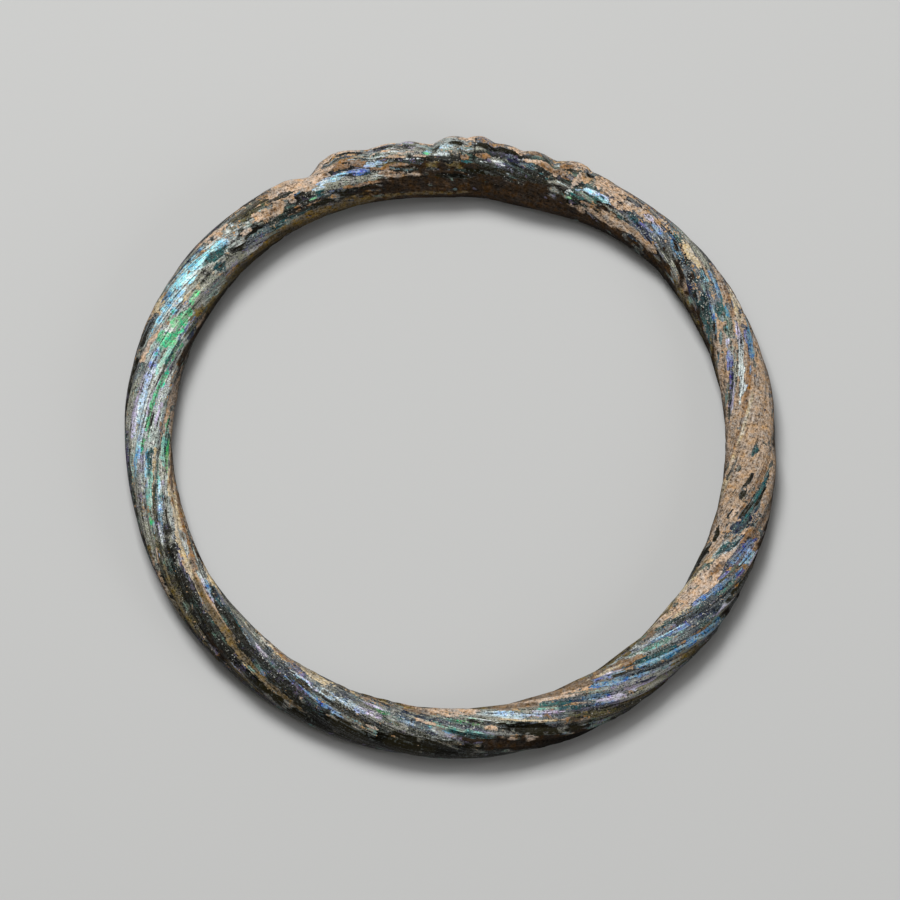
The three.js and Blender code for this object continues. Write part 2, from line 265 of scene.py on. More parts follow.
# Patches of each cover in the order they are laid on: turn, roll, half length along the twist, half
# width across it
PATCHES = (
    ("olive soil", (
        (143, 162, 9.0, 0.8), (214, 22, 6.0, 0.6), (42, 160, 4.0, 0.9), (30, 165, 6.0, 0.6),
        (221, 88, 3.5, 0.4), (303, 28, 5.0, 0.6), (317, 20, 2.5, 0.5), (307, 142, 2.2, 0.7),
        (327, 155, 3.0, 0.4), (14, 140, 1.2, 0.25), (20, 155, 1.5, 0.25), (210, 40, 5.0, 0.5),
        (229, 22, 3.5, 0.6), (200, 30, 5.0, 0.5),
    )),
    ("brown soil and shade", (
        (157, 172, 6.0, 0.5), (206, 160, 3.0, 0.5), (288, 12, 9.0, 1.0), (262, 155, 2.5, 0.3),
        (231, 128, 4.5, 0.1), (222, 48, 3.0, 0.9), (160, 152, 3.0, 0.3), (20, 172, 6.0, 0.5),
    )),
    ("tan crust", (
        (5, 80, 9.0, 2.6), (2, 130, 9.0, 1.8), (8, 45, 7.0, 0.8), (10, 165, 8.0, 0.8),
        (345, 122, 8.0, 1.5), (352, 90, 8.0, 2.0), (350, 45, 6.0, 1.0), (328, 108, 3.5, 0.6),
        (20, 105, 4.0, 1.0), (30, 48, 3.0, 0.5), (172, 150, 6.5, 0.4), (183, 162, 4.0, 0.6),
        (213, 104, 3.5, 0.2), (217, 100, 3.0, 0.25), (36, 128, 2.0, 0.5), (207, 12, 2.5, 0.3),
        (345, 22, 3.0, 0.4), (194, 150, 5.0, 0.5), (36, 66, 2.4, 0.6), (240, 152, 5.0, 0.5),
    )),
    ("dun crust", (
        (294, 140, 7.0, 0.9), (285, 133, 3.0, 0.3), (262, 130, 2.5, 0.25),
    )),
    ("cream crust", (
        (190, 140, 5.0, 0.6), (322, 108, 3.0, 0.4), (242, 143, 4.0, 0.8), (232, 141, 2.6, 0.4),
        (194, 138, 4.5, 0.6), (199, 120, 4.5, 0.5), (213, 148, 2.0, 0.9), (276, 150, 4.0, 0.15),
        (328, 133, 3.4, 0.5), (318, 142, 3.2, 0.5), (147.5, 122, 1.6, 0.5), (149, 103, 3.4, 0.2),
        (154.5, 40, 1.0, 1.0), (27, 42, 2.0, 0.4), (37, 72, 2.2, 0.5), (207, 104, 3.4, 0.3),
        (204, 112, 3.0, 0.2), (284, 86, 4.0, 0.12), (288, 73, 3.4, 0.1), (299, 104, 1.6, 0.2),
        (254, 150, 1.4, 0.3), (348, 165, 3.0, 0.4), (3, 103, 2.2, 0.2), (200, 150, 3.0, 0.15),
        (303, 120, 1.6, 0.3), (212.5, 5, 1.4, 0.25), (227, 60, 2.0, 0.08), (188, 95, 4.0, 0.3),
    )),
    ("peach crust", (
        (138.5, 52, 2.2, 0.75), (163, 58, 2.6, 0.42), (273, 138, 3.2, 0.5), (268, 142, 3.0, 0.6),
        (290, 124, 3.5, 0.3), (323, 119, 2.2, 0.3), (203, 42, 0.8, 0.45), (265, 100, 1.8, 0.3),
        (327.5, 92, 1.6, 0.2), (297, 112, 2.0, 0.2), (327, 110, 4.0, 0.55), (321, 120, 2.6, 0.4),
        (333, 100, 4.0, 0.55),
    )),
    ("orange crust", (
        (186, 155, 4.0, 0.4), (198, 148, 4.0, 0.2), (203, 138, 5.0, 0.25), (156.6, 89, 0.9, 0.28),
        (293.5, 53, 2.0, 0.3), (342, 46, 2.0, 0.5), (321.5, 44, 1.3, 0.15), (318, 55, 1.6, 0.12),
        (332, 95, 1.2, 0.25), (7, 97, 4.0, 0.14), (13, 80, 2.6, 0.12), (27.5, 55, 1.8, 0.2),
        (209, 72, 0.5, 0.2), (211, 64, 0.4, 0.15), (349, 74, 2.0, 0.3), (232, 61, 6.0, 0.2),
        (306.5, 103, 1.2, 0.25), (234, 137, 1.5, 0.2), (2, 115, 2.2, 0.12),
    )),
    ("frost ground", (
        (313, 107, 4.2, 0.85), (317, 98, 3.0, 0.5), (336.6, 98, 1.6, 0.6), (174, 80, 4.0, 0.5),
        (258, 90, 5.0, 0.55), (264, 90, 3.0, 0.5), (253, 98, 3.0, 0.45), (184, 72, 3.0, 0.6),
    )),
    ("silver ground", (
        (147.5, 131, 3.0, 0.9), (147, 32, 3.5, 0.5), (173, 78, 4.5, 0.9), (138, 129, 2.2, 0.55),
        (146, 99, 2.0, 0.3), (190, 48, 4.5, 0.6), (198, 45, 3.2, 0.6), (188, 112, 3.4, 0.4),
        (221, 146, 3.4, 0.8), (228, 130, 3.0, 0.5), (277, 140, 1.2, 0.5), (305, 66, 4.6, 0.35),
        (300, 50, 4.5, 0.5), (38, 44, 3.2, 0.6), (172, 42, 3.0, 0.5), (180, 40, 3.0, 0.4),
        (39, 116, 2.0, 0.5), (198, 92, 5.0, 0.7), (205, 84, 4.0, 0.6), (327, 45, 2.6, 0.5),
        (331, 42, 1.6, 0.4), (259, 84, 3.0, 0.5), (12, 116, 2.8, 0.35), (250, 118, 3.0, 0.6),
        (165, 100, 4.0, 0.4), (22, 90, 2.4, 0.4), (42, 116, 2.0, 0.4), (186, 125, 3.5, 0.3),
    )),
    ("steel ground", (
        (232, 102, 5.5, 0.9), (219, 122, 3.0, 0.5), (322, 75, 4.5, 0.8), (306, 76, 5.0, 0.5),
        (158.5, 40, 1.3, 0.6), (293, 100, 3.0, 0.4), (297, 68, 2.2, 0.4), (167.5, 45, 1.0, 0.5),
        (30, 98, 4.0, 0.5), (262, 98, 3.0, 0.5), (271, 98, 2.6, 0.5), (248.5, 128, 1.8, 0.5),
        (326, 60, 4.0, 0.6),
    )),
    ("olive ground", (
        (169, 104, 3.0, 0.2), (240.5, 98, 1.4, 0.2), (194, 84, 3.0, 0.3), (257, 92, 1.4, 0.3),
        (300, 30, 4.0, 0.5), (334, 60, 2.0, 0.3), (154, 145, 2.0, 0.25), (213, 84, 2.5, 0.3),
    )),
    ("white film", (
        (139.5, 85, 1.9, 0.6), (146, 78, 2.6, 0.4), (163.5, 85, 2.2, 0.45), (167.5, 81, 1.0, 0.4),
        (178, 82, 3.0, 0.5), (181.5, 68, 1.4, 0.5), (172, 84, 3.0, 0.4), (170, 92, 2.0, 0.3),
        (193, 98, 3.2, 0.4), (212, 119, 2.2, 0.25), (279, 117, 2.8, 0.42), (283, 107, 2.6, 0.3),
        (288.3, 114, 0.9, 0.25), (312, 110, 2.4, 0.5), (316.5, 104, 2.0, 0.35),
        (239, 111, 1.8, 0.25), (9.5, 102, 1.1, 0.28), (11.6, 98, 1.4, 0.25), (15.5, 88, 1.9, 0.25),
        (18.5, 80, 1.4, 0.25), (302, 118, 0.9, 0.3), (277, 98, 2.0, 0.3), (251, 93, 1.4, 0.3),
        (200, 78, 1.6, 0.3), (259, 103, 1.3, 0.35), (161, 80, 1.6, 0.3), (207, 90, 2.0, 0.2),
    )),
    ("lilac film", (
        (244.6, 99, 1.7, 0.42), (213.5, 115, 1.8, 0.2), (243.8, 102, 1.8, 0.38),
        (172, 68, 3.4, 0.6), (178, 56, 1.5, 0.28), (172, 97, 3.2, 0.2), (176, 112, 1.7, 0.2),
        (284, 100, 2.0, 0.28), (288, 95, 2.4, 0.2), (7, 138, 2.2, 0.38), (254.5, 97, 1.5, 0.35),
        (328, 33, 2.4, 0.4), (304, 58, 4.0, 0.25), (337.5, 22, 1.2, 0.5), (21, 74, 0.9, 0.2),
        (19.5, 103, 0.6, 0.25), (214, 114, 1.6, 0.2), (255.4, 117, 1.0, 0.3), (325, 90, 1.4, 0.3),
        (303, 112, 1.2, 0.3), (300, 61, 2.5, 0.3), (230, 107, 2.2, 0.35),
    )),
    ("violet film", (
        (157.6, 125, 2.0, 0.22), (163, 131, 2.0, 0.22), (15.5, 118, 0.9, 0.35),
        (24.3, 95, 0.5, 0.3), (332.5, 72, 1.0, 0.25), (302, 108, 1.6, 0.3), (323.5, 22, 1.1, 0.5),
        (20, 52, 0.7, 0.3), (333, 50, 1.6, 0.4), (12, 125, 1.6, 0.2), (302, 90, 1.8, 0.22),
    )),
    ("navy film", (
        (145, 47, 2.2, 0.22), (157.5, 150, 1.4, 0.3), (343.5, 77, 2.2, 0.7), (318, 82, 2.2, 0.28),
        (42.5, 78, 1.1, 0.3), (32, 130, 1.7, 0.35), (263.5, 111, 3.2, 0.2), (324, 60, 2.0, 0.38),
        (293, 97, 2.0, 0.25), (142.2, 113, 0.8, 0.35), (257, 128, 3.0, 0.1), (306, 60, 1.8, 0.2),
        (10.5, 127, 1.6, 0.14),
    )),
    ("blue film", (
        (319, 43, 3.4, 0.4), (303, 88, 3.0, 0.3), (298, 84, 1.5, 0.25), (327, 80, 1.8, 0.35),
        (337, 60, 2.2, 0.35), (330, 68, 2.2, 0.35), (318, 93, 2.4, 0.35), (246, 75, 3.0, 0.36),
        (309, 80, 3.2, 0.3), (314, 67, 2.4, 0.28), (17.5, 50, 2.8, 0.35), (30, 72, 2.2, 0.3),
        (24.5, 80, 1.2, 0.25), (42, 86, 1.8, 0.5), (262, 97, 1.1, 0.3), (227.5, 99, 1.7, 0.35),
        (238, 87, 1.4, 0.3), (268.5, 81, 1.4, 0.35), (189, 78, 3.0, 0.42), (152, 60, 1.6, 0.6),
        (339, 56, 0.9, 0.3), (297, 67, 1.5, 0.2), (27, 108, 2.0, 0.25), (165, 122, 1.5, 0.15),
        (213, 122, 1.0, 0.2), (152, 48, 1.2, 0.3), (219, 118, 1.5, 0.2),
    )),
    ("ice film", (
        (249.6, 99, 1.8, 0.42), (247, 97, 2.6, 0.28), (249, 92, 1.6, 0.25), (153, 68, 1.5, 0.35),
        (262, 93, 1.0, 0.3), (226, 108, 1.6, 0.3), (190, 76, 2.4, 0.4), (181, 68, 2.4, 0.55),
        (164.5, 84, 2.0, 0.4), (172, 76, 2.0, 0.3), (283, 106, 2.0, 0.3),
    )),
    ("cyan film", (
        (144, 71, 3.0, 0.72), (148, 62, 2.0, 0.55), (156.5, 64, 2.6, 0.48), (151, 78, 1.6, 0.3),
        (141, 88, 1.2, 0.3), (184, 60, 1.2, 0.45), (190, 104, 0.8, 0.2), (196, 92, 1.6, 0.28),
        (186, 82, 1.7, 0.28), (33.5, 80, 1.0, 0.4), (154, 93, 0.9, 0.3), (269.6, 109, 0.6, 0.3),
        (336.5, 42, 1.3, 0.45), (317, 100, 1.4, 0.2), (163, 84, 1.2, 0.2), (240, 107, 1.0, 0.14),
    )),
    ("aqua film", (
        (182.5, 134, 3.4, 0.48), (271.5, 79, 2.6, 0.38), (291, 91, 2.0, 0.2), (313, 100, 2.4, 0.25),
        (187.5, 108, 1.8, 0.2), (194, 72, 2.6, 0.45), (188, 88, 1.6, 0.3), (271, 106, 1.2, 0.3),
        (192, 80, 2.0, 0.25), (258, 105, 1.0, 0.25), (330, 52, 1.4, 0.3), (163, 108, 2.4, 0.25),
    )),
    ("teal film", (
        (220.5, 123, 2.6, 0.42), (142.6, 126, 0.7, 0.7), (141.5, 99, 1.2, 0.45),
        (163, 119, 2.2, 0.2), (184.8, 93, 1.3, 0.3), (182, 145, 1.8, 0.22), (27, 132, 3.0, 0.42),
        (29, 109, 3.0, 0.3), (273, 72, 2.4, 0.25), (290, 107, 1.8, 0.25), (293.5, 82, 1.7, 0.28),
        (346, 68, 2.0, 0.32), (350, 58, 2.0, 0.3), (336.6, 97, 1.1, 0.42), (357.4, 80, 0.7, 0.35),
        (317, 119, 1.4, 0.14), (311, 88, 2.4, 0.25), (217, 118, 1.2, 0.25), (26.5, 90, 1.6, 0.4),
        (245, 69, 2.0, 0.15), (34, 100, 1.5, 0.2), (204, 75, 1.5, 0.3), (192, 92, 1.6, 0.15),
    )),
    ("green film", (
        (150.8, 109, 1.0, 0.38), (156.4, 107, 1.8, 0.75), (160, 96, 1.7, 0.8), (161, 86, 1.0, 0.28),
        (171, 108, 5.2, 0.28), (167, 123, 1.4, 0.2), (274, 101, 1.1, 0.3), (196.5, 64, 0.6, 0.3),
        (178, 97, 1.2, 0.15), (176, 147, 1.0, 0.15), (184, 140, 1.6, 0.15), (256, 109, 0.6, 0.2),
    )),
    ("pitting", (
        (200, 85, 5.0, 0.5), (187, 106, 4.0, 0.3), (230, 95, 5.0, 0.8), (30, 112, 5.0, 0.7),
        (34, 90, 3.0, 0.6), (42, 105, 3.0, 0.8), (312, 112, 3.0, 0.5), (325, 72, 5.0, 0.8),
        (256, 104, 5.0, 0.7), (272, 100, 4.0, 0.5),
    )),
    ("bare glass", (
        (246, 45, 5.0, 1.0), (282, 76, 4.0, 0.4), (286, 58, 5.0, 0.45), (247, 88, 2.6, 0.2),
        (137, 122, 2.0, 0.32), (331, 169, 6.0, 0.5), (176, 103, 2.2, 0.12), (213, 88, 2.2, 0.12),
        (333, 15, 3.4, 0.5), (187, 26, 3.0, 0.35), (347.7, 98, 0.7, 0.4), (350.7, 92, 0.9, 0.2),
        (347, 62, 1.8, 0.15), (252, 152, 2.0, 0.2), (209, 92, 1.0, 0.15), (238, 112, 2.4, 0.08),
        (166, 28, 4.0, 0.5), (306, 90, 2.0, 0.15), (42, 112, 1.6, 0.2), (196, 106, 2.0, 0.1),
        (345, 82, 1.0, 0.25),
    )),
    ("dark ground and shade", (
        (214, 68, 7.0, 0.8), (222, 60, 4.0, 0.6), (232, 82, 5.0, 0.7), (224, 104, 4.0, 0.5),
        (240, 74, 4.0, 0.6),
    )),
    ("khaki soil", (
        (224, 78, 4.0, 0.35), (231, 62, 4.0, 0.35), (216, 92, 3.0, 0.3), (238, 46, 3.0, 0.3),
    )),
    ("pitted glass", (
        (232, 80, 5.5, 0.5), (240, 68, 4.5, 0.6), (216, 64, 4.6, 0.55), (207, 62, 3.2, 0.5),
        (203, 80, 3.0, 0.3), (252, 78, 4.0, 0.5), (322, 86, 3.2, 0.25), (44, 110, 2.4, 0.4),
        (268, 62, 3.5, 0.5), (200, 68, 3.0, 0.3), (278, 90, 1.6, 0.2), (312, 92, 2.0, 0.2),
        (226, 100, 2.0, 0.3),
    )),
    ("peach crust", (
        (277.5, 82, 0.7, 0.25), (281, 50, 0.4, 0.25), (284.2, 42, 0.35, 0.3), (295.2, 82, 0.6, 0.2),
        (344, 107, 0.5, 0.2), (255.6, 62, 0.6, 0.25),
    )),
)

# Patches at the joint, which don't follow the twist: turn, roll, half span of turn, half span of
# roll
JOINT_PATCHES = (
    ("dark ground and shade", (
        (86, 100, 33, 60), (120, 118, 10, 22),
    )),
    ("mottled crust", (
        (90, 36, 32, 18),
    )),
    ("frost ground", (
        (103, 50, 4, 22), (91, 54, 4, 14), (80.5, 74, 3, 6), (96, 44, 3, 12),
    )),
    ("dark ground and shade", (
        (103, 44, 1.6, 6), (109, 44, 3, 4), (122, 30, 1.2, 14), (128.5, 30, 2.6, 12),
        (76, 55, 7, 7), (72, 48, 1.0, 10),
    )),
    ("olive soil", (
        (93, 94, 6, 8), (87.5, 94, 4, 9), (100, 92, 4, 7),
    )),
    # The large brown patches on the inner face under the joint are brown soil, made darker as painted
    # shade
    ("brown soil and shade", (
        (78, 158, 34, 52), (64, 135, 4, 12), (100, 130, 10, 16), (99, 96, 4, 5), (92, 110, 6, 5),
        (64, 170, 18, 30),
    )),
    ("umber soil", (
        (80, 186, 36, 30), (104, 176, 16, 18),
    )),
    ("bronze soil", (
        (121, 172, 12, 22), (100, 166, 10, 5),
    )),
    # The patch at turn 89, roll 120 paints the hollow under the crest black as shade
    ("bare glass", (
        (75, 100, 7, 8), (80, 96, 3.5, 8), (84, 103, 4, 5), (89, 120, 4, 6), (98.3, 84, 1.2, 4),
        (110, 128, 5, 5), (116, 140, 5, 6), (122.2, 108, 1.2, 8), (133, 118, 2.4, 16),
        (63.8, 128, 1.6, 8), (46, 68, 0.7, 4), (63, 46, 0.9, 6),
    )),
    ("olive ground", (
        (129, 72, 5, 10), (131, 60, 3.5, 10),
    )),
    ("moss ground", (
        (133, 147, 4, 6), (139, 140, 5, 5), (98, 38, 2, 14),
    )),
    ("steel ground", (
        (133, 130, 2.5, 12), (49, 104, 4, 12), (114, 118, 4, 7), (71, 94, 3, 5),
    )),
    ("dark ground and shade", (
        (74, 88, 6, 16), (79, 78, 4, 14), (83.5, 58, 3, 6), (62.5, 118, 3.4, 12),
        (97.5, 84, 1.6, 9),
    )),
    ("silver ground", (
        (80.8, 76, 1.5, 5), (82.6, 71, 1.2, 3), (54.5, 107, 2.4, 4), (67.5, 96, 2.0, 4),
        (104.6, 83, 1.6, 4), (106, 112, 3.4, 7), (114, 106, 3.4, 12), (98, 62, 4, 9),
        (109, 60, 3, 3.5), (117, 106, 1.6, 7), (133.4, 145, 1.8, 7), (87.5, 60, 2.6, 3.5),
    )),
    ("tan crust", (
        (118.5, 94, 2.4, 9), (100.6, 114, 2.6, 3), (103, 106, 1.6, 3), (53, 128, 5, 9),
        (58, 136, 4, 7), (52, 74, 3.6, 11), (60, 60, 5, 15), (57, 48, 5, 8), (125.6, 100, 2.9, 11),
        (129, 98, 2.2, 11), (127.5, 113, 2.4, 5), (116, 88, 2, 10), (68, 72, 3, 8),
        (120, 60, 4, 22), (101, 73, 2, 5), (72, 62, 3, 5), (124, 70, 4, 7), (47, 130, 3, 8),
    )),
    ("peach crust", (
        (55.7, 91, 2.1, 8), (64.8, 78, 0.9, 14), (57.5, 73, 4, 8), (66.5, 50, 1.8, 5),
        (73.2, 60, 2.6, 2.4), (77.6, 40, 1.4, 8), (60.5, 67, 2, 5), (98.6, 66, 1.5, 3),
        (102, 57, 3, 2.2), (113.6, 70, 1.8, 6), (116.8, 78, 2.2, 9), (120.5, 78, 3.2, 10),
        (124.2, 75, 3, 4), (96, 75, 1.2, 2.2), (133.8, 106, 1.1, 5), (110, 34, 3.0, 5),
        (103, 30, 2.0, 6), (86.5, 30, 2.6, 6), (116, 40, 1.6, 10), (130.2, 96, 0.9, 8),
        (119, 40, 2.4, 18), (78, 26, 1.2, 8), (66.5, 38, 1.4, 8), (95, 30, 1.0, 14),
        (59, 48, 3, 10),
    )),
    ("orange crust", (
        (83.6, 71, 1.8, 5), (87.6, 73, 2.0, 5), (109, 65, 2.2, 6), (74, 44, 1.6, 7),
        (68.5, 50, 1.8, 7), (103, 96, 2.4, 4), (108, 124, 3, 3), (107, 78, 2, 4.5),
        (111, 76, 2, 4.5), (101.4, 109, 3, 1.8), (69, 73, 1.8, 4.5), (71.5, 65, 1.5, 3.5),
        (60.5, 120, 1.2, 4), (122.5, 122, 1.6, 1.2), (120, 130, 2.6, 1.2), (127, 104, 1.4, 4),
        (101, 92, 1.8, 3), (111.4, 121, 0.8, 3.5), (66.7, 80, 1, 4),
    )),
    ("white film", (
        (91.6, 69, 1.8, 4), (91, 52, 0.7, 4), (97.5, 80, 2.6, 1.4), (99.6, 61, 1.6, 2),
        (105.2, 112, 1.0, 2.5), (107, 65, 2.0, 1.6), (113.6, 97, 1.2, 6), (117, 106, 0.9, 3.5),
        (111.4, 87, 2.6, 1.4), (104.4, 82, 0.8, 2), (103.3, 69, 2.0, 2), (134.6, 69, 0.6, 5),
        (65.4, 107, 0.9, 6.5), (67.2, 94, 1.2, 1.8), (54.6, 108, 1.8, 2.0), (69.3, 50, 0.6, 6),
        (81.3, 76, 1.2, 3.5), (83.6, 81, 1.4, 1.1), (87.8, 60, 2.2, 1.5), (84, 50, 1.8, 1.2),
        (88.5, 42, 1.8, 1.2), (72, 86, 0.8, 1.4), (108.2, 90, 1.2, 1.4), (58.6, 88, 1.2, 2.5),
        (76.3, 57, 0.6, 2), (97, 52, 0.8, 3), (112, 52, 1.6, 1.2), (88.6, 70, 1.4, 1.2),
        (79.8, 83, 0.8, 2),
    )),
    ("lilac film", (
        (98, 36, 1.4, 10), (49.4, 73, 0.8, 6), (110.6, 97, 1.2, 3), (46.5, 80, 1.2, 5),
        (97.4, 56, 0.8, 4),
    )),
    ("violet film", (
        (48, 99, 1.6, 4), (63.7, 96, 0.6, 4.5), (110.8, 92, 0.9, 3), (114.6, 121, 1.6, 2),
    )),
    ("navy film", (
        (48.6, 106, 2.2, 4), (77.2, 67, 1.3, 5), (50, 143, 1.6, 4), (103.3, 79, 0.4, 3),
        (46.6, 112, 1.2, 4), (76, 76, 1, 3),
    )),
    ("blue film", (
        (46, 88, 1.6, 6), (108.3, 99, 1.6, 6), (110.8, 93, 1.6, 5), (121, 98, 0.8, 2.4),
        (63, 93, 1.0, 4), (60.6, 97, 0.7, 3),
    )),
    ("ice film", (
        (60, 94, 3.4, 6), (61.6, 90, 2.6, 5), (91, 57, 1.6, 6), (104.5, 82, 1.6, 6),
        (87.5, 60, 2.0, 2), (115, 96, 2.4, 6), (58, 98, 1.6, 4),
    )),
    ("cyan film", (
        (62, 91, 1.0, 2.5), (59.2, 95, 0.8, 2), (112.3, 91, 0.9, 3), (94.4, 62, 0.7, 5),
        (58, 98, 1, 3),
    )),
    ("teal film", (
        (51.6, 98, 1.1, 12), (62.4, 112, 1.8, 4), (62.4, 99, 0.9, 2.2), (60.2, 101, 1.2, 3),
        (58.8, 92, 0.4, 2), (72, 83, 1.0, 4), (118, 120, 1.2, 3), (124, 140, 4, 3.5),
        (127, 135, 2, 3), (53, 112, 1.4, 3), (106.6, 103, 0.8, 1.8), (95.2, 66, 0.4, 3),
        (70.4, 92, 0.8, 4), (86.5, 84, 1.2, 2.5), (117.2, 113, 0.8, 3),
    )),
    ("green film", (
        (119, 122, 0.8, 2), (65, 122, 0.9, 3), (94.4, 66, 0.4, 2),
    )),
    ("pitted glass", (
        (110.5, 56, 2.8, 3), (92.8, 56, 0.8, 9), (93.5, 78, 2, 2.5), (129, 68, 2.5, 3),
        (123.5, 88, 1.6, 3), (79, 96, 4, 4), (74, 86, 3, 3), (104, 62, 0.8, 4),
        (85.2, 64, 1.5, 3.5), (100.5, 81, 1.2, 2),
    )),
    # Most of these blacken the notches between the scallops: dark glass, with painted shade in the gaps
    ("bare glass", (
        (88.6, 49, 1.6, 4), (82.6, 48, 1.6, 5), (79, 48, 2.2, 4), (98.5, 46, 1.2, 3),
        (67.3, 57, 1.4, 1.8), (90.6, 62, 0.4, 4), (106, 58, 0.6, 2), (120.6, 101, 0.7, 3),
    )),
)


def linear(swatch):
    """Linear red, green and blue from a swatch's 0 to 255."""
    shares = [channel / 255 for channel in swatch]
    return [share / 12.92 if share <= 0.04045 else ((share + 0.055) / 1.055) ** 2.4 for share in shares]


def cosine(degrees):
    return np.cos(np.radians(degrees))


def sine(degrees):
    return np.sin(np.radians(degrees))


def bell(distance):
    """1 in the middle, falling away on both sides: e to the power of minus the distance squared."""
    return np.exp(-distance * distance)


def short_way_round(degrees):
    """The same angle, between -180 and 180."""
    return (degrees + 180.0) % 360.0 - 180.0


def smooth_step(low, high, value):
    """0 up to low, 1 from high on and smooth between them, whichever of the two is larger."""
    share = np.clip((value - low) / (high - low), 0.0, 1.0)
    return share * share * (3.0 - 2.0 * share)


def waves(table, turn):
    """Sum of rise x cosine(swells x (turn - peak)) over the table."""
    return sum(rise * cosine(swells * (turn - peak)) for swells, rise, peak in table)


def centre_radius(turn):
    """Plan radius of the rod's centre line: the ring's waves less the pinch at the joint."""
    pinch = PINCH_DEPTH * bell(short_way_round(turn - PINCH_TURN) / PINCH_SPAN)
    return RING_RADIUS + waves(RING_WAVES, turn) - pinch


def rod_radius(turn):
    """Half the rod's thickness plus the waves of its swelling."""
    return ROD_THICKNESS / 2 + waves(ROD_WAVES, turn)


def twist_at(turn):
    """How far the rod has twisted: whole turns round the ring, plus waves."""
    return TWIST_TURNS * turn + waves(TWIST_WAVES, turn)


def rib_strength(turn):
    """1 plus a bell for each stretch of stronger or weaker ribs."""
    changes = (change * bell(short_way_round(turn - at) / span) for at, span, change in RIB_STRENGTHS)
    return 1 + sum(changes)


def rib_profile(line):
    """Rounded crests between sharp valleys: the size of a sine whose phase bunches up once round."""
    phase = RIB_COUNT * (line + np.degrees(RIB_BUNCHING * sine(line - BUNCHED_ROLL)))
    return RIB_HEIGHT * (np.abs(sine(phase / 2)) - 2 / math.pi)


def lump_height(lump, turn, roll):
    """A bell with its own reach along its leaning line and across it."""
    at, around, rise, along, across, lean = lump
    along_rod = np.radians(short_way_round(turn - at)) * RING_RADIUS
    round_rod = np.radians(short_way_round(roll - around)) * ROD_THICKNESS / 2
    lengthwise = along_rod * cosine(lean) + round_rod * sine(lean)
    crosswise = round_rod * cosine(lean) - along_rod * sine(lean)
    return rise * bell(lengthwise / along) * bell(crosswise / across)


def ripples(seed, turn, line, shortest_along, shortest_across, longest=6.0, count=70):
    """Smooth random field on the ring, about -1 to 1: a sum of cosines whose whole numbers of waves
    round the ring and round the rod are drawn at random, mostly no shorter than the shortest lengths
    in mm. Their typical length varies by less than longest times, and longer waves stand higher."""
    draw = np.random.default_rng(seed)
    ring_length = 2 * math.pi * RING_RADIUS
    rod_length = math.pi * ROD_THICKNESS
    total = np.zeros_like(turn)
    size = 0.0
    for _ in range(count):
        fineness = draw.uniform(1.0 / longest, 1.0) ** 0.8
        round_ring = round(draw.normal() * fineness * ring_length / shortest_along / 2)
        round_rod = round(draw.normal() * fineness * rod_length / shortest_across / 2)
        height = (1.0 / fineness) ** 0.5
        total += height * cosine(round_ring * turn + round_rod * line + draw.uniform(0, 360))
        size += height * height / 2
    return total / (2.0 * math.sqrt(size))


def patch_reach(patch, turn, line):
    """Distance from the middle of an oval that lies along the twist, 1 at its edge."""
    at, roll, half_length, half_width = patch
    along = np.radians(short_way_round(turn - at)) * RING_RADIUS
    across = np.radians(short_way_round(line - roll - twist_at(at))) * ROD_THICKNESS / 2
    return np.sqrt((along / half_length) ** 2 + (across / half_width) ** 2)


def region_reach(region, turn, line):
    """Distance from the middle of an oval that spans turns and rolls, 1 at its edge."""
    at, roll, half_turn, half_roll = region
    across = short_way_round(line - twist_at(turn) - roll)
    return np.sqrt((short_way_round(turn - at) / half_turn) ** 2 + (across / half_roll) ** 2)


def lay_cover(fields, cover, reach, rough_edge):
    """Draws one cover where its reach is under about 1, with a ragged edge."""
    near = reach < FURTHEST_REACH
    edge = reach[near] + rough_edge[near]
    for name, target in COVERS[cover].items():
        if isinstance(target, tuple):
            share = smooth_step(*COLOUR_EDGE, edge)[:, None]
            target = np.array(linear(target))
        else:
            share = smooth_step(*COVER_EDGE, edge)
        fields[name][near] += (target - fields[name][near]) * share


def sections():
    """Turns of the cross-sections, closer together at the joint."""
    return np.concatenate([np.linspace(*arc, endpoint=False) for arc in (JOINT_ARC, PLAIN_ARC)])


def drift(share, swatches):
    """A colour field that goes from the first swatch to the second as the share goes from 0 to 1."""
    first, second = (np.array(linear(swatch)) for swatch in swatches)
    return first + (second - first) * np.clip(share, 0, 1)[..., None]


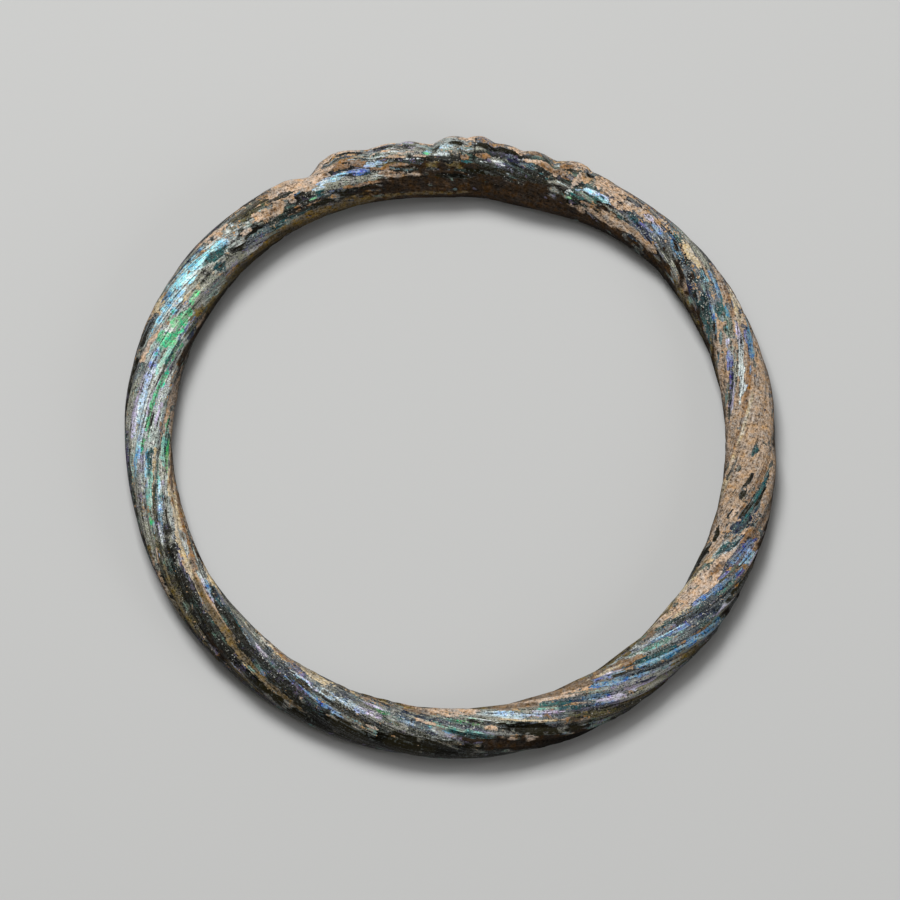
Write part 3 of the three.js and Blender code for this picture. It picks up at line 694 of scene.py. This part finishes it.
def covers(turn, line):
    """Amounts and colours of crust, bare glass, pits, dust and film at every point: streaky random
    fields, then the regions and the patches drawn over them in turn. Painted shade darkens the low sides."""
    # Each field has its own seed, then its shortest waves along the rod and round it
    streaks = ripples(11, turn, line, 5.0, 0.5)
    broad = ripples(12, turn, line, 12.0, 2.5)
    specks = ripples(13, turn, line, 1.0, 0.6)
    other_streaks = ripples(14, turn, line, 4.0, 0.4)
    crumbled = ripples(15, turn, line, 0.9, 0.5, longest=4.0)
    frayed = ripples(16, turn, line, 2.2, 0.4)
    rough_edge = 0.6 * crumbled + 0.4 * frayed
    fields = {
        "crust": 0.30 + 0.3 * broad + 0.2 * specks,
        "bare": 0.05 + 0.2 * streaks,
        "pits": 0.5 + 0.3 * broad,
        "dust": 0.5 - 0.5 * other_streaks,
        "film": 0.2 + 0.3 * streaks,
        "ground": drift(0.5 + streaks, GROUND_DRIFT),
        "colour": drift(0.5 + other_streaks, FILM_DRIFT),
        "soil": drift(0.5 + 0.8 * specks, SOIL_DRIFT),
    }
    for cover, *region in REGIONS:
        lay_cover(fields, cover, region_reach(region, turn, line), rough_edge)
    for cover, patches in PATCHES:
        for patch in patches:
            lay_cover(fields, cover, patch_reach(patch, turn, line), rough_edge)
    for cover, patches in JOINT_PATCHES:
        for patch in patches:
            lay_cover(fields, cover, region_reach(patch, turn, line), rough_edge)
    # Painted shade: the colours darken towards the low sides of the rod, less so at the joint
    joint = smooth_step(*JOINT_FADE, np.abs(short_way_round(turn - JOINT_TURN)))
    upward = sine(line - twist_at(turn)) + 0.08 * streaks
    unshaded = smooth_step(*PAINTED_SHADE_END, upward + JOINT_LIFT * joint)
    for name in COLOUR_FIELDS:
        fields[name] *= (DARKEST_PAINTED_SHADE + (1 - DARKEST_PAINTED_SHADE) * unshaded)[..., None]
    return fields


def ring_points(turn, line, crust):
    """The displaced rod: its radius is the rod's own, the ribs, the lumps and hollows of the joint,
    fine drawn lines along the twist, and the thickness of the crust."""
    roll = line - twist_at(turn)
    radius = rod_radius(turn) + rib_profile(line) * rib_strength(turn)
    for lump in SCALLOPS + LOWER_END + HOLLOWS + FOLDS + FLUTES:
        radius = radius + lump_height(lump, turn, roll)
    drawn_lines = ripples(21, turn, line, 14.0, 0.35, longest=3.0)
    dents = ripples(22, turn, line, 2.5, 1.6)
    radius = radius + DRAWN_LINE_HEIGHT * drawn_lines + DENT_HEIGHT * dents
    radius = radius + CRUST_THICKNESS * smooth_step(*CRUST_RISE, crust)
    outward = centre_radius(turn) + radius * cosine(roll)
    centre_height = rod_radius(turn) - RESTING_CUT
    height = np.maximum(centre_height + radius * sine(roll), 0)
    return np.stack([outward * cosine(turn), outward * sine(turn), height], axis=-1)


def closed_grid(name, points):
    """A mesh whose grid of points closes on itself both ways."""
    rows, columns = points.shape[:2]
    row, column = np.meshgrid(np.arange(rows), np.arange(columns), indexing="ij")
    next_row = (row + 1) % rows
    next_column = (column + 1) % columns
    corners = [(row, column), (next_row, column), (next_row, next_column), (row, next_column)]
    faces = np.stack([r * columns + c for r, c in corners], axis=-1).reshape(-1, 4)
    mesh = bpy.data.meshes.new(name)
    mesh.from_pydata(points.reshape(-1, 3), [], faces)
    mesh.shade_smooth()
    return mesh


def store(mesh, name, *values):
    """Keeps up to three numbers for each point of the mesh as a vector attribute."""
    columns = [np.ravel(value) for value in values]
    while len(columns) < 3:
        columns.append(np.zeros_like(columns[0]))
    attribute = mesh.attributes.new(name, "FLOAT_VECTOR", "POINT")
    attribute.data.foreach_set("vector", np.stack(columns, axis=-1).astype(np.float32).ravel())


def make_ring():
    """The ring, placed as the solid is, with what covers it kept as attributes for its finish."""
    turn, line = np.meshgrid(sections(), np.arange(COLUMNS) * 360.0 / COLUMNS, indexing="ij")
    fields = covers(turn, line)
    points = ring_points(turn, line, fields["crust"]) * MM
    cracked = smooth_step(1.0, 0.8, region_reach((CRACK_TURN, *CRACK_SPAN), turn, line))
    low, high = (np.array(corner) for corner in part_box("bracelet"))
    middle = (points.min(axis=(0, 1)) + points.max(axis=(0, 1))) / 2
    points[..., :2] += ((low + high) / 2 - middle)[:2]
    points[..., 2] += low[2]
    mesh = closed_grid("twisted_ring", points)
    store(mesh, "cover", fields["crust"], fields["bare"], fields["pits"])
    store(mesh, "veil", fields["dust"], fields["film"], cracked)
    for name in COLOUR_FIELDS:
        store(mesh, name, *np.moveaxis(fields[name], -1, 0))
    store(mesh, "rod_line", cosine(line), sine(line))
    store(mesh, "ring_line", cosine(turn), sine(turn))
    ring = bpy.data.objects.new("twisted_ring", mesh)
    bpy.context.scene.collection.objects.link(ring)
    return ring


class Value:
    """A shader socket that adds Math nodes when it is used in an expression."""

    def __init__(self, tree, socket):
        self.tree = tree
        self.socket = socket

    def math(self, operation, *others):
        return self.tree.node("ShaderNodeMath", {"operation": operation}, [self, *others])

    def __add__(self, other):
        return self.math("ADD", other)

    def __radd__(self, other):
        return self.math("ADD", other)

    def __sub__(self, other):
        return self.math("SUBTRACT", other)

    def __rsub__(self, other):
        return self.tree.node("ShaderNodeMath", {"operation": "SUBTRACT"}, [other, self])

    def __mul__(self, other):
        return self.math("MULTIPLY", other)

    def __rmul__(self, other):
        return self.math("MULTIPLY", other)

    def __truediv__(self, other):
        return self.math("DIVIDE", other)

    def clipped(self):
        return self.tree.node("ShaderNodeClamp", {}, [self, 0.0, 1.0])

    def between(self, low, high):
        """0 up to low, 1 from high on and smooth between them, whichever of the two is larger."""
        settings = {"interpolation_type": "SMOOTHSTEP"}
        return self.tree.node("ShaderNodeMapRange", settings, [self, low, high, 0.0, 1.0])


class Tree:
    """A material's nodes, each made by one call."""

    def __init__(self, material):
        material.use_nodes = True
        self.nodes = material.node_tree.nodes
        self.links = material.node_tree.links
        self.nodes.clear()

    def node(self, kind, settings, inputs, output=0):
        """Makes a node, sets it up, fills its sockets by place or name, and gives one output."""
        made = self.nodes.new(kind)
        for name, setting in settings.items():
            setattr(made, name, setting)
        pairs = inputs.items() if isinstance(inputs, dict) else enumerate(inputs)
        for place, value in pairs:
            if isinstance(value, Value):
                self.links.new(value.socket, made.inputs[place])
            elif value is not None:
                made.inputs[place].default_value = value
        return Value(self, made.outputs[output]) if made.outputs else None

    def attribute(self, name):
        return self.node("ShaderNodeAttribute", {"attribute_name": name}, [], "Vector")

    def parts(self, vector):
        return [self.node("ShaderNodeSeparateXYZ", {}, [vector], axis) for axis in "XYZ"]

    def mix(self, share, first, second):
        """Mixes two colours."""
        return self.node("ShaderNodeMix", {"data_type": "RGBA"}, {0: share, 6: first, 7: second}, 2)


def opaque(swatch):
    return (*linear(swatch), 1.0)


def weathered_glass():
    """Near-black olive glass under an iridescent film with drawn streaks and pits, and soil crust."""
    material = bpy.data.materials.new("weathered_glass")
    tree = Tree(material)
    place = tree.node("ShaderNodeTexCoord", {}, [], "Object")
    crust, bare, pitted = tree.parts(tree.attribute("cover"))
    dusty, filmed, cracked = tree.parts(tree.attribute("veil"))
    place_x, place_y, _ = tree.parts(place)
    rod_x, rod_y, _ = tree.parts(tree.attribute("rod_line"))
    ring_x, ring_y, _ = tree.parts(tree.attribute("ring_line"))

    def noise(settings, inputs):
        """Noise of about 1 either way."""
        return (tree.node("ShaderNodeTexNoise", settings, inputs) - 0.5) * NOISE_SPREAD

    def along_twist(around, along, detail, roughness):
        """Noise drawn out along the twist: waves round the rod and round the ring."""
        vector = tree.node("ShaderNodeCombineXYZ", {}, [rod_x * around, rod_y * around, ring_x * along])
        settings = {"noise_dimensions": "4D"}
        return noise(settings, {"Vector": vector, "W": ring_y * along, "Scale": 1.0,
                                "Detail": detail, "Roughness": roughness})

    def grain(size, detail, roughness):
        """Even noise with its largest lumps of a size in millimetres."""
        return noise({}, {"Vector": place, "Scale": 1 / (size * MM),
                          "Detail": detail, "Roughness": roughness})

    wide = along_twist(2.5, 5.0, 2.0, 0.5)
    streaks = along_twist(6.0, 7.0, 3.0, 0.7)
    hairs = along_twist(16.0, 10.0, 1.0, 0.6)
    mottle = grain(3.0, 2.0, 0.5)
    flakes = grain(0.9, 3.0, 0.7)
    crumb = grain(0.35, 2.0, 0.7)
    grit = grain(0.18, 0.0, 0.5) * 0.6

    # Masks: where the crust, the bare glass, the crack, the coloured film, the dust, the pits and
    # the pale specks of painted glint are
    crust_mask = (crust + flakes * 0.10 + crumb * 0.10 + streaks * 0.05 + grit * 0.06).between(0.46, 0.54)
    bare_mask = (bare + streaks * 0.09 + hairs * 0.09 + crumb * 0.08 + grit * 0.08).between(0.40, 0.62)
    crack_line = (place_y * cosine(CRACK_TURN) - place_x * sine(CRACK_TURN)).math("ABSOLUTE") / MM
    crack = (1 - (crack_line + crumb * 0.02).between(0.03, 0.07)) * cracked
    film_mask = (filmed + streaks * 0.12 + flakes * 0.08 + crumb * 0.08 + hairs * 0.06).between(0.38, 0.66)
    dust_mask = (dusty * 0.5 + streaks * 0.10 + flakes * 0.08 + grit * 0.10).between(0.46, 0.60)
    pits = (pitted * 0.6 - 0.07 + crumb * 0.12 + grit * 0.16 + hairs * 0.06).between(0.46, 0.60)
    specks = (grit * 0.12 + crumb * 0.08 + pitted * 0.2).between(0.34, 0.42)

    # Film: a dull ground with a drift of lilac and aqua sheen, and coloured flakes over it
    ground = tree.attribute("ground")
    lilac = (wide * 0.6 + flakes * 0.5).between(0.2, 1.8) * 0.55
    aqua = (streaks * 0.5 - mottle * 0.6).between(0.2, 1.8) * 0.55
    ground = tree.mix(lilac, ground, opaque(LILAC_SHEEN))
    ground = tree.mix(aqua, ground, opaque(AQUA_SHEEN))
    film = tree.mix(film_mask, ground, tree.attribute("colour"))
    pale_chips = (crumb + flakes * 0.5).between(1.0, 1.6)
    dark_chips = (crumb + hairs * 0.5).between(-1.0, -1.6)
    chips = pale_chips * 0.2 - dark_chips * 0.2
    light = 0.98 + streaks * 0.2 + hairs * 0.28 + crumb * 0.15 + grit * (0.08 + pitted * 0.42) + chips
    film = tree.node("ShaderNodeHueSaturation", {}, {
        "Hue": 0.5 + wide * 0.018 + flakes * 0.02,
        "Saturation": (0.75 + crumb * 0.15 + flakes * 0.2).math("MAXIMUM", 0.1),
        "Value": light.math("MAXIMUM", 0.12).math("MINIMUM", 1.5),
        "Color": film,
    })
    film = tree.mix(pits * 0.85, film, opaque(PIT_COLOUR))
    # Painted glints: pale specks over the film, most where it is pitted
    film = tree.mix(specks * 0.7, film, opaque(PAINTED_GLINT_COLOUR))

    # Bare glass with a thin grey bloom, and dust over it and over the film
    glass = tree.mix(mottle.between(-1.0, 1.0), opaque(BLACK_GLASS), opaque(OLIVE_GLASS))
    glass = tree.mix((crumb + hairs).between(1.2, 2.6) * 0.5, glass, opaque(GLASS_BLOOM))
    colour = tree.mix(bare_mask, film, glass)
    colour = tree.mix(dust_mask * (1 - 0.6 * bare_mask) * 0.5, colour, opaque(DUST_COLOUR))

    # Crust: crumbs and grains of its own colour, lighter, darker, duller and stronger
    grains = 1.0 + flakes * 0.12 + crumb * 0.15 + grit * 0.16 + hairs * 0.10 + chips
    soil = tree.node("ShaderNodeHueSaturation", {}, {
        "Hue": 0.5,
        "Saturation": (0.92 + flakes * 0.2 - crumb * 0.12).math("MAXIMUM", 0.3),
        "Value": grains.math("MAXIMUM", 0.25).math("MINIMUM", 1.5),
        "Color": tree.attribute("soil"),
    })
    colour = tree.mix(crust_mask, colour, soil)
    colour = tree.mix(crack, colour, opaque(CRACK_COLOUR))

    # Sheen and relief
    glassy = (1 - crust_mask) * (1 - bare_mask)
    roughness = 0.26 + 0.2 * glassy + 0.6 * crust_mask + crumb * 0.03
    relief = (crust_mask * 0.4 + crumb * (0.08 + 0.16 * crust_mask) + streaks * 0.06
              + hairs * 0.08 + grit * (0.04 + 0.06 * crust_mask) - pits * 0.3 - crack * 0.6)
    bump = tree.node("ShaderNodeBump", {}, {"Strength": 0.9, "Distance": RELIEF_DEPTH, "Height": relief})
    shader = tree.node("ShaderNodeBsdfPrincipled", {}, {
        "Base Color": colour,
        "Roughness": roughness.clipped(),
        "Metallic": (glassy * 0.25).clipped(),
        "Specular IOR Level": 0.12,
        "Normal": bump,
    })
    tree.node("ShaderNodeOutputMaterial", {}, {"Surface": shader})
    return material


# The pale surface that the ring lies on, its width in metres
TABLE_COLOUR = (194, 196, 198)
TABLE_ROUGHNESS = 0.85
TABLE_WIDTH = 4.0

# Softboxes that look at the middle of the ring: name, place in metres, size, power, colour
LIGHTS = (
    ("key_light", (-0.12, 0.31, 0.64), 0.28, 4.25, (1.0, 0.985, 0.95)),
    ("top_light", (-0.15, 0.1, 0.9), 0.5, 1.6, (1.0, 1.0, 1.0)),
    ("fill_light", (0.5, -0.28, 0.3), 0.3, 0.7, (1.0, 1.0, 1.0)),
)
SKY_COLOUR = (255, 244, 226)
SKY_STRENGTH = 0.1

# Camera: its elevation in degrees, then in metres its distance, the width that it frames and how far
# below the rod's middle it aims. Its sensor is in millimetres.
CAMERA_ELEVATION = 72.0
CAMERA_DISTANCE = 1.044
FRAME_WIDTH = 0.1044
AIM_BELOW = 0.00058
SENSOR_WIDTH = 36.0


def pale_paper():
    """Plain pale paper."""
    material = bpy.data.materials.new("pale_table")
    tree = Tree(material)
    shader = tree.node("ShaderNodeBsdfPrincipled", {}, {
        "Base Color": opaque(TABLE_COLOUR),
        "Roughness": TABLE_ROUGHNESS,
    })
    tree.node("ShaderNodeOutputMaterial", {}, {"Surface": shader})
    return material


def make_table():
    """The pale surface that the ring lies on."""
    half = TABLE_WIDTH / 2
    corners = [(-half, -half, 0), (half, -half, 0), (half, half, 0), (-half, half, 0)]
    mesh = bpy.data.meshes.new("pale_table")
    mesh.from_pydata(corners, [], [(0, 1, 2, 3)])
    mesh.materials.append(pale_paper())
    table = bpy.data.objects.new("pale_table", mesh)
    bpy.context.scene.collection.objects.link(table)


def soft_light(name, place, size, power, colour):
    """A square softbox that looks at the middle of the ring."""
    lamp = bpy.data.lights.new(name, "AREA")
    lamp.shape = "SQUARE"
    lamp.size = size
    lamp.energy = power
    lamp.color = colour
    box = bpy.data.objects.new(name, lamp)
    box.location = place
    box.rotation_euler = (-Vector(place)).to_track_quat("-Z", "Y").to_euler()
    bpy.context.scene.collection.objects.link(box)


def studio():
    """The softboxes and a faint warm sky."""
    for light in LIGHTS:
        soft_light(*light)
    world = bpy.data.worlds.new("studio")
    world.use_nodes = True
    sky = world.node_tree.nodes["Background"]
    sky.inputs["Color"].default_value = opaque(SKY_COLOUR)
    sky.inputs["Strength"].default_value = SKY_STRENGTH
    bpy.context.scene.world = world
    bpy.context.scene.view_settings.view_transform = "Standard"


def make_camera():
    """The camera looks down on the ring from the front, as the photograph does."""
    lens = bpy.data.cameras.new("camera")
    lens.sensor_width = SENSOR_WIDTH
    lens.lens = SENSOR_WIDTH * CAMERA_DISTANCE / FRAME_WIDTH
    camera = bpy.data.objects.new("camera", lens)
    elevation = math.radians(CAMERA_ELEVATION)
    back = Vector((0, -math.cos(elevation), math.sin(elevation)))
    up = Vector((0, math.sin(elevation), math.cos(elevation)))
    rod_middle = Vector((0, 0, (ROD_THICKNESS / 2) * MM))
    aim = rod_middle - up * AIM_BELOW
    camera.location = aim + back * CAMERA_DISTANCE
    camera.rotation_euler = (-back).to_track_quat("-Z", "Y").to_euler()
    bpy.context.scene.collection.objects.link(camera)
    bpy.context.scene.camera = camera


make_camera()
studio()
make_table()

ring = make_ring()
ring.data.materials.append(weathered_glass())
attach(ring, "root")
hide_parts("bracelet")
